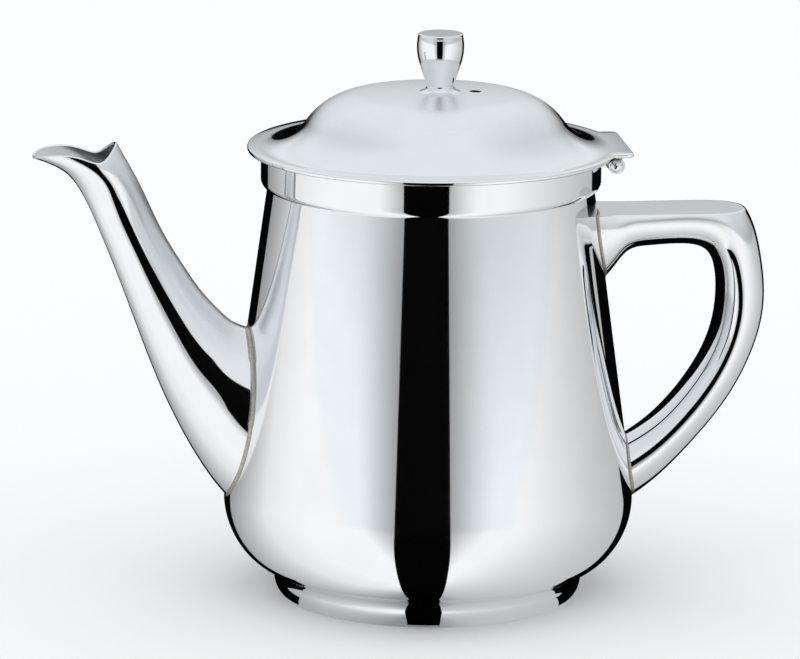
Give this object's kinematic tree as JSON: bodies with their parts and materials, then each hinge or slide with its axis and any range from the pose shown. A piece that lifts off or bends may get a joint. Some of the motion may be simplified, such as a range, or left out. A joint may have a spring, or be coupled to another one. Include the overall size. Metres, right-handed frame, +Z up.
{
  "type": "teapot",
  "caption": "Polished steel teapot with a tapered body on a foot ring, a swept spout with an S-cut lip, a hollow handle and a domed lid on a rear hinge.",
  "frame": {"origin": "on the body's axis, in the plane the foot ring rests on", "axes": "+Z up along the body's axis, the spout points along -X and the handle along +X, and the lid's hinge axis runs along Y"},
  "size_m": [0.2138, 0.119, 0.165],
  "materials": {
    "polished_steel": "mirror-polished stainless steel",
    "ground_seam": "ground and brushed weld metal",
    "inner_steel": "satin stainless steel",
    "braze": "bare braze metal"
  },
  "bodies": {
    "pot": {"body_shell": "polished_steel", "foot_ring": "polished_steel", "strainer_plate": "inner_steel", "spout_left_half": "polished_steel", "spout_right_half": "polished_steel", "spout_weld_seam": "ground_seam", "handle_left_half": "polished_steel", "handle_right_half": "polished_steel", "handle_upper_weld": "ground_seam", "handle_lower_weld": "ground_seam", "pot_knuckle": "polished_steel", "neck_braze": "braze"},
    "lid": {"lid_shell": "polished_steel", "lid_ring": "inner_steel", "lid_knuckle_near": "polished_steel", "lid_knuckle_far": "polished_steel", "tab_braze_near": "braze", "tab_braze_far": "braze", "hinge_pin": "polished_steel", "knob": "polished_steel", "knob_washer": "inner_steel", "knob_screw": "inner_steel"}
  },
  "joints": [
    {"name": "lid_hinge", "type": "hinge", "parent": "pot", "child": "lid", "pos_m": [0.0522, 0, 0.1279], "axis": [0, 1, 0], "range_deg": [0, 105]}
  ]
}
